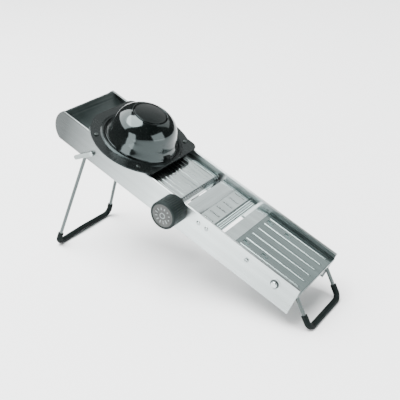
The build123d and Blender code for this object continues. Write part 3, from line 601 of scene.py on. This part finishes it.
def waffle_mesh():
    """Rippled blade, with a flat root under the plate behind it and solid shoulders."""
    bm = bmesh.new()
    root, edge = 260.2, 273.2
    teeth_half, shoulder = 44.0, 44.4
    ripple, ripple_pitch = 0.34, 3.4
    wave, wave_pitch = 0.16, 3.1
    underside, upper_face = DECK_TOP - GROUND, DECK_TOP - 0.1

    def middle(x, y):
        height = ripple * math.sin(2 * math.pi * y / ripple_pitch)
        height += wave * math.sin(2 * math.pi * x / wave_pitch)
        return DECK_TOP - 0.8 + height * ease((x - root - 0.8) / 1.2) * ease((shoulder - abs(y)) / 0.8)

    def under(x, y):
        return middle(x, y) - 0.08 - 0.32 * ease((edge + 0.1 - x) / 2.4)

    xs = stations(root, edge, 0.5)
    ys = stations(-teeth_half, teeth_half, 0.28)
    add_sheet(bm, xs, ys, lambda x, y: middle(x, y) + 0.35, under)
    add_block(bm, (root, root + 5.8), (-46.0, 46.0), (underside, DECK_TOP - 1.25), 0.1)
    add_block(bm, (root, root + 1.4), (-PLATE_HALF, PLATE_HALF), (underside, upper_face), 0.15)
    for side in (-1, 1):
        across = (side * shoulder, side * (PLATE_HALF - 0.2))
        add_block(bm, (root + 0.2, edge - 0.2), across, (underside, upper_face), 0.2)
    return finished(bm, "waffle_teeth", 40)


def rivet_mesh():
    """Four domed rivets through the side panels, each sunk in a small ring."""
    bm = bmesh.new()
    head = [(0.05, 54.1), (1.2, 54.05), (2.2, 53.8), (2.9, 53.45), (3.25, 53.1), (3.3, 53.0)]
    shank = [(2.0, 53.0), (2.0, 50.4), (2.7, 50.3), (2.9, 50.0), (2.5, 49.65), (0.05, 49.6)]
    rivet_height = -12.6
    for x in (244.4, 257.4):
        for side in (-1, 1):
            add_turned(bm, head + shank, x, rivet_height, side)
    return finished(bm, "rivet_heads")


piece("feed_sheet", feed_mesh(), "feed", "deck_steel", "feed_plate")
runway = piece("runway_sheet", runway_mesh(), "chassis", "deck_steel", "runway_plate")
# The run-on plate takes the darker copy of the deck steel, which is painted shade.
dress(runway, runway_painted_shade_finish)
piece("mid_sheet", mid_mesh(), "chassis", "deck_steel", "mid_deck_plate")
waffle = piece("waffle_teeth", waffle_mesh(), "chassis", "blade_steel", "waffle_blade")
# The rippled blade takes the darker copy of the blade steel, which is painted shade.
dress(waffle, waffle_painted_shade_finish)
piece("rivet_heads", rivet_mesh(), "chassis", "fixing_steel", "deck_rivets")


# ---- carried-over CAD nodes ---------------------------------------------------------------

# Nodes by the width of their rounded edges in millimetres.
EDGES = {
    0.80: ("rear_grip",),
    0.60: ("guard_base",),
    0.40: ("guard_latch", "rear_leg_brackets"),
    0.30: ("comb_carrier", "comb_finger_tab", "comb_guides", "guard_glides", "leg_lock_lever",
           "thickness_knob"),
    0.22: ("near_side_panel", "far_side_panel"),
    0.20: ("blade_bed", "rear_tie_plate", "runway_lead"),
    0.15: ("thickness_cam",),
    0.12: ("knob_dial",),
    0.08: ("straight_blade",),
}


def round_edges(obj, width):
    """Weld the CAD faces together, then round their edges so that they catch the light."""
    weld = obj.modifiers.new("weld", "WELD")
    weld.merge_threshold = 0.000004
    bevel = obj.modifiers.new("soft_edges", "BEVEL")
    bevel.width = width
    bevel.segments = 2
    bevel.limit_method = "ANGLE"
    bevel.angle_limit = math.radians(35.0)
    bevel.harden_normals = True


slots = {s["node"]: s["material_slot"] for s in frame["record"]["subparts"]}
for node_name, obj in frame["nodes"].items():
    if not obj.hide_render:
        dress(obj, finishes[slots[node_name]])
# The studs take the darker copy of the fixing steel, which is painted shade.
dress(frame["nodes"]["guard_studs"], stud_painted_shade_finish)
dress(frame["nodes"]["knob_dial"], dial_finish("dial_finish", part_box("knob_dial")[0].y))

for width, node_names in EDGES.items():
    for node_name in node_names:
        round_edges(frame["nodes"][node_name], width * MM)


# ---- stage, camera and lights -------------------------------------------------------------

FLOOR_HALF = 8.0
AIM = Vector((0.0100, 0.0142, 0.1093))
CAMERA_AZIMUTH, CAMERA_ELEVATION, CAMERA_ROLL = 34.24, 26.80, -0.28
CAMERA_DISTANCE = 1.017
CAMERA_LENS = 67.46

corners = [(-1, -1), (1, -1), (1, 1), (-1, 1)]
ground = bpy.data.meshes.new("floor")
ground.from_pydata([(x * FLOOR_HALF, y * FLOOR_HALF, 0) for x, y in corners], [], [(0, 1, 2, 3)])
floor = place("floor", ground)
dress(floor, floor_finish("floor_finish"))


def away(azimuth, elevation):
    """Direction from the slicer: azimuth 0 is its knob side, 90 its low end."""
    a, e = math.radians(azimuth), math.radians(elevation)
    return Vector((math.sin(a) * math.cos(e), -math.cos(a) * math.cos(e), math.sin(e)))


camera_data = bpy.data.cameras.new("camera")
camera_data.lens = CAMERA_LENS
camera_data.sensor_width = 36.0
camera_data.clip_start = 0.02
camera_data.clip_end = 60.0
camera = place("camera", camera_data)
back = away(CAMERA_AZIMUTH, CAMERA_ELEVATION)
facing = (-back).to_track_quat("-Z", "Y").to_matrix().to_4x4()
roll = Matrix.Rotation(math.radians(CAMERA_ROLL), 4, "Z")
camera.matrix_world = Matrix.Translation(AIM + back * CAMERA_DISTANCE) @ facing @ roll
bpy.context.scene.camera = camera


def softbox(name, azimuth, elevation, distance, width, height, power):
    """A soft rectangular light that faces the slicer."""
    data = bpy.data.lights.new(name, "AREA")
    data.shape = "RECTANGLE"
    data.size = width
    data.size_y = height
    data.energy = power
    light = place(name, data)
    direction = away(azimuth, elevation)
    light.location = AIM + direction * distance
    light.rotation_euler = direction.to_track_quat("Z", "Y").to_euler()
    light.visible_camera = False


def broad_sky(name, azimuth, elevation, spread, strength):
    """A very wide, soft light from one direction, even over the whole floor."""
    data = bpy.data.lights.new(name, "SUN")
    data.angle = math.radians(spread)
    data.energy = strength
    light = place(name, data)
    light.rotation_euler = away(azimuth, elevation).to_track_quat("Z", "Y").to_euler()


softbox("window_left", -70, 48, 1.8, 2.4, 1.3, 70.0)
broad_sky("overhead", -34, 76, 46.0, 9.5)
softbox("panel_left", -4, 8, 1.7, 0.75, 0.95, 17.0)
softbox("panel_right", 91, 10, 1.8, 1.4, 1.4, 30.0)
softbox("far_sky", 178, 42, 2.3, 2.6, 1.7, 22.0)

world = bpy.data.worlds.new("studio")
world.use_nodes = True
background = world.node_tree.nodes["Background"]
background.inputs["Color"].default_value = (0.90, 0.97, 0.96, 1.0)
background.inputs["Strength"].default_value = 0.10
bpy.context.scene.world = world
